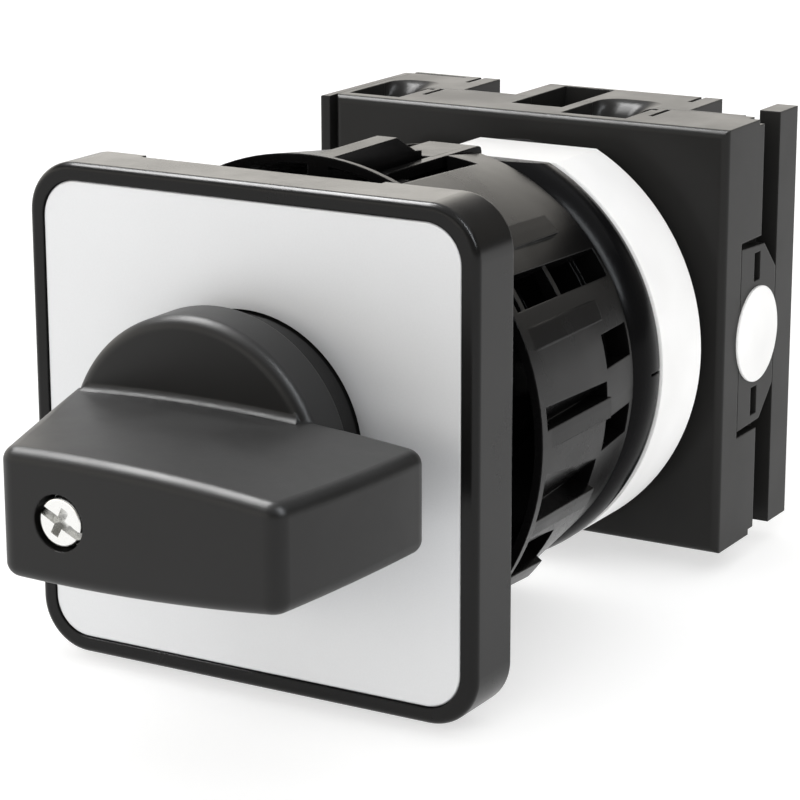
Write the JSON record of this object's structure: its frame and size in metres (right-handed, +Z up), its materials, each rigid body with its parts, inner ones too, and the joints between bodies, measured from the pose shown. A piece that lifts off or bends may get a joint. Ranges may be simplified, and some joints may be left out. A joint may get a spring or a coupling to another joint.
{
  "type": "rotary isolator switch",
  "caption": "Panel mounted rotary isolator switch with a lever knob, square legend plate, threaded shank and nut, release adapter and cam driven contact block.",
  "frame": {"origin": "on the shaft axis, in the plane where the back of the front frame meets the panel", "axes": "+Y runs back along the shaft into the panel, the knob faces -Y, +Z is up and the lever points along +X at rest"},
  "size_m": [0.0498, 0.1, 0.0496],
  "materials": {
    "frame_plastic": "smooth black moulded plastic with a faint gloss",
    "knob_plastic": "smooth black moulded plastic with softly worn edges",
    "adapter_plastic": "fine satin black moulded plastic",
    "nut_plastic": "satin black moulded plastic",
    "block_plastic": "satin black moulded plastic",
    "inner_plastic": "natural unpainted engineering plastic",
    "white_plastic": "satin white moulded plastic",
    "label_white": "plain white disc with no print",
    "plate_silver": "fine satin silver sheet with no print",
    "seal_rubber": "black rubber",
    "zinc_steel": "bright zinc plate",
    "plated_steel": "drawn and plated steel",
    "spring_steel": "bright spring steel",
    "contact_copper": "pressed copper alloy with silvered pads"
  },
  "bodies": {
    "stator": {"adapter_cup": "adapter_plastic", "adapter_screws": "zinc_steel", "bridge_spring_left": "spring_steel", "bridge_spring_right": "spring_steel", "clamp_nut": "nut_plastic", "clamp_plates": "zinc_steel", "coupling_ring": "adapter_plastic", "detent_housing": "white_plastic", "detent_spring_bottom": "spring_steel", "detent_spring_top": "spring_steel", "fixed_contact_left_bottom": "contact_copper", "fixed_contact_left_top": "contact_copper", "fixed_contact_right_bottom": "contact_copper", "fixed_contact_right_top": "contact_copper", "front_frame": "frame_plastic", "front_housing": "block_plastic", "latch_pin": "plated_steel", "legend_plate": "plate_silver", "panel_seal": "seal_rubber", "rear_cover": "block_plastic", "rear_housing": "block_plastic", "side_clip_right": "block_plastic", "side_label_disc": "label_white", "side_plate_left": "block_plastic", "terminal_screws": "zinc_steel", "threaded_shank": "frame_plastic", "tie_screws": "zinc_steel"},
    "rotor": {"grip_knob": "knob_plastic", "knob_screw": "zinc_steel", "spring_washer": "zinc_steel", "spindle": "plated_steel", "shaft_seal": "seal_rubber", "coupling_sleeve": "inner_plastic", "cam_shaft": "plated_steel", "detent_star": "inner_plastic", "cam_disc": "inner_plastic"},
    "bridge_left": {"bridge_carrier_left": "inner_plastic", "contact_bridge_left": "contact_copper"},
    "bridge_right": {"bridge_carrier_right": "inner_plastic", "contact_bridge_right": "contact_copper"},
    "latch": {"release_latch": "adapter_plastic"}
  },
  "joints": [
    {"name": "knob_turn", "type": "hinge", "parent": "stator", "child": "rotor", "pos_m": [0, 0, 0], "axis": [0, -1, 0], "range_deg": [0, 90], "deforming": ["detent_spring_top", "detent_spring_bottom"]},
    {"name": "bridge_left_slide", "type": "slide", "parent": "stator", "child": "bridge_left", "axis": [1, 0, 0], "range_m": [0, 0.0016], "deforming": ["bridge_spring_left"]},
    {"name": "bridge_right_slide", "type": "slide", "parent": "stator", "child": "bridge_right", "axis": [-1, 0, 0], "range_m": [0, 0.0016], "deforming": ["bridge_spring_right"]},
    {"name": "latch_lift", "type": "hinge", "parent": "stator", "child": "latch", "pos_m": [0.0035, 0.0119, 0.0203], "axis": [1, 0, 0], "range_deg": [0, 8], "stiffness_Nm_per_rad": 0.02}
  ],
  "couplings": [
    {"joint": "bridge_left_slide", "follows": "knob_turn", "m_per_rad": 0.0010186},
    {"joint": "bridge_right_slide", "follows": "knob_turn", "m_per_rad": 0.0010186}
  ]
}
